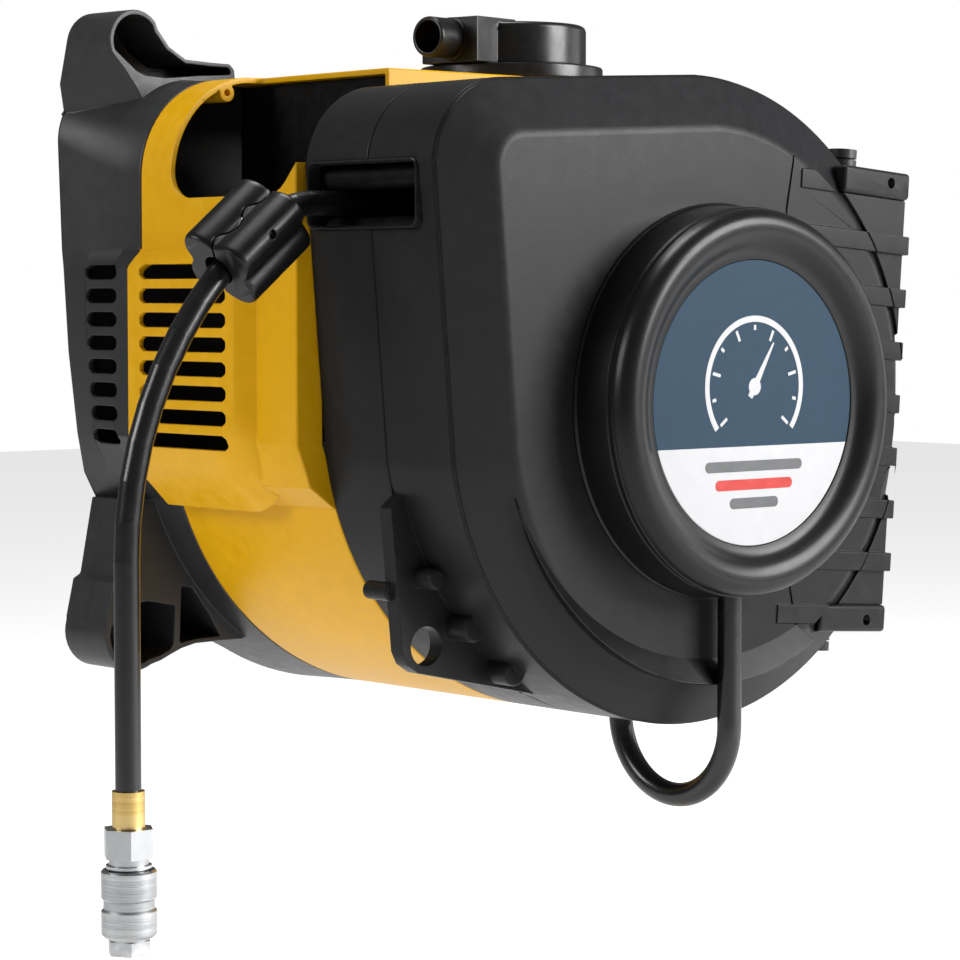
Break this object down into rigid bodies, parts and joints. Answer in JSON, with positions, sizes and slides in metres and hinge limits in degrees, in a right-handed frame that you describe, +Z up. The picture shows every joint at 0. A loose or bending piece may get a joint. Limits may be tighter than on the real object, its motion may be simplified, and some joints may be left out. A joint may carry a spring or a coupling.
{
  "type": "wall-mounted air compressor with hose reel",
  "caption": "Enclosed wall-mounted electric air compressor with a spring-driven retractable air-hose reel and quick coupler on its front.",
  "frame": {"origin": "centre of the four wall-screw holes, on the wall plane", "axes": "+Z up, the front of the machine faces -Y and the wall is at Y = 0, +X to the right seen from the front"},
  "size_m": [0.5181, 0.329, 0.4469],
  "materials": {
    "black_plastic": "moulded, fine grain",
    "grey_plastic": "moulded dark grey, fine grain",
    "yellow_plastic": "moulded yellow, satin",
    "cap_plastic": "satin black moulding",
    "rubber": "smooth rubber",
    "hose_rubber": "smooth glossy hose",
    "disc_print": "printed two-tone disc",
    "brass": "turned",
    "steel": "turned and plated",
    "screw_steel": "zinc plated",
    "alu": "die cast",
    "iron": "laminated and painted",
    "copper": "copper tube and wire",
    "tank_paint": "powder coated",
    "roller_nylon": "black nylon",
    "filter_paper": "pleated",
    "red_plastic": "moulded red"
  },
  "bodies": {
    "root": {"rear_housing": "black_plastic", "wall_pads": "rubber", "middle_shell": "yellow_plastic", "shell_screws": "screw_steel", "inner_cowl": "black_plastic", "reel_rear_half": "grey_plastic", "reel_front_half": "grey_plastic", "reel_screws": "screw_steel", "outlet_bezel": "black_plastic", "hub_cover": "black_plastic", "label_disc": "disc_print", "hinge_block_cap": "grey_plastic", "pivot_pin": "black_plastic", "filter_base": "cap_plastic", "filter_element": "filter_paper", "outlet_frame": "black_plastic", "roller_pins": "steel", "drum_axle": "steel", "main_spring": "steel", "pawl_pin": "steel", "swivel_joint": "brass", "lead_in_hose": "hose_rubber", "inlet_elbow": "brass", "pump_bracket": "screw_steel", "rubber_mounts": "rubber", "motor_housing": "alu", "motor_stator": "copper", "shaft_bearings": "steel", "crankcase": "alu", "cylinder": "alu", "valve_plate": "steel", "cylinder_head": "alu", "head_bolts": "screw_steel", "air_receiver": "tank_paint", "discharge_tube": "copper", "pressure_switch": "black_plastic", "power_cable": "rubber"},
    "drum": {"reel_drum": "grey_plastic", "hose_pack": "hose_rubber", "spring_cover": "screw_steel", "ratchet_wheel": "screw_steel"},
    "hose_end": {"hose_tail": "hose_rubber", "stopper_halves": "rubber", "stopper_screws": "screw_steel", "hose_ferrule": "brass", "coupler_body": "steel", "sleeve_spring": "steel"},
    "sleeve": {"coupler_sleeve": "steel"},
    "valve": {"coupler_valve": "brass"},
    "top_roller": {"upper_roller": "roller_nylon"},
    "bottom_roller": {"lower_roller": "roller_nylon"},
    "pawl_lever": {"pawl": "brass"},
    "rotor": {"rotor_core": "iron", "motor_shaft": "steel", "cooling_fan": "black_plastic", "eccentric": "iron"},
    "rod": {"connecting_rod": "alu"},
    "piston_body": {"piston": "alu"},
    "air_cap": {"filter_cap": "cap_plastic"},
    "switch_lever": {"rocker_switch": "red_plastic"}
  },
  "joints": [
    {"name": "reel_spin", "type": "hinge", "parent": "root", "child": "drum", "pos_m": [0, -0.235, -0.03], "axis": [0, -1, 0], "range_deg": [0, 71.6]},
    {"name": "hose_pull", "type": "slide", "parent": "root", "child": "hose_end", "axis": [-1, 0, 0], "range_m": [0, 0.12]},
    {"name": "top_roller_spin", "type": "hinge", "parent": "root", "child": "top_roller", "pos_m": [-0.158, -0.23, 0.0785], "axis": [0, -1, 0], "range_deg": [-1150, 0]},
    {"name": "bottom_roller_spin", "type": "hinge", "parent": "root", "child": "bottom_roller", "pos_m": [-0.158, -0.23, 0.0535], "axis": [0, -1, 0], "range_deg": [0, 1150]},
    {"name": "sleeve_pull", "type": "slide", "parent": "hose_end", "child": "sleeve", "axis": [0, 0, 1], "range_m": [0, 0.005], "stiffness_N_per_m": 800, "deforming": ["sleeve_spring"]},
    {"name": "valve_push", "type": "slide", "parent": "hose_end", "child": "valve", "axis": [0, 0, 1], "range_m": [0, 0.006], "stiffness_N_per_m": 300},
    {"name": "pawl_swing", "type": "hinge", "parent": "root", "child": "pawl_lever", "pos_m": [-0.024, -0.277, 0.01], "axis": [0, 1, 0], "range_deg": [0, 15]},
    {"name": "motor_spin", "type": "hinge", "parent": "root", "child": "rotor", "pos_m": [0, -0.118, -0.02], "axis": [1, 0, 0], "continuous": true},
    {"name": "rod_swing", "type": "hinge", "parent": "rotor", "child": "rod", "pos_m": [-0.035, -0.118, -0.011], "axis": [1, 0, 0], "continuous": true},
    {"name": "piston_stroke", "type": "slide", "parent": "root", "child": "piston_body", "axis": [0, 0, 1], "range_m": [-0.018, 0]},
    {"name": "cap_twist", "type": "hinge", "parent": "root", "child": "air_cap", "pos_m": [0.025, -0.118, 0.15], "axis": [0, 0, 1], "range_deg": [-20, 30]},
    {"name": "switch_rock", "type": "hinge", "parent": "root", "child": "switch_lever", "pos_m": [0.172, -0.12, 0.1], "axis": [0, 1, 0], "range_deg": [0, 8]}
  ],
  "couplings": [
    {"joint": "hose_pull", "follows": "reel_spin", "m_per_rad": 0.096},
    {"joint": "top_roller_spin", "follows": "reel_spin", "ratio": -16},
    {"joint": "bottom_roller_spin", "follows": "reel_spin", "ratio": 16},
    {"joint": "rod_swing", "follows": "motor_spin", "ratio": -1}
  ]
}
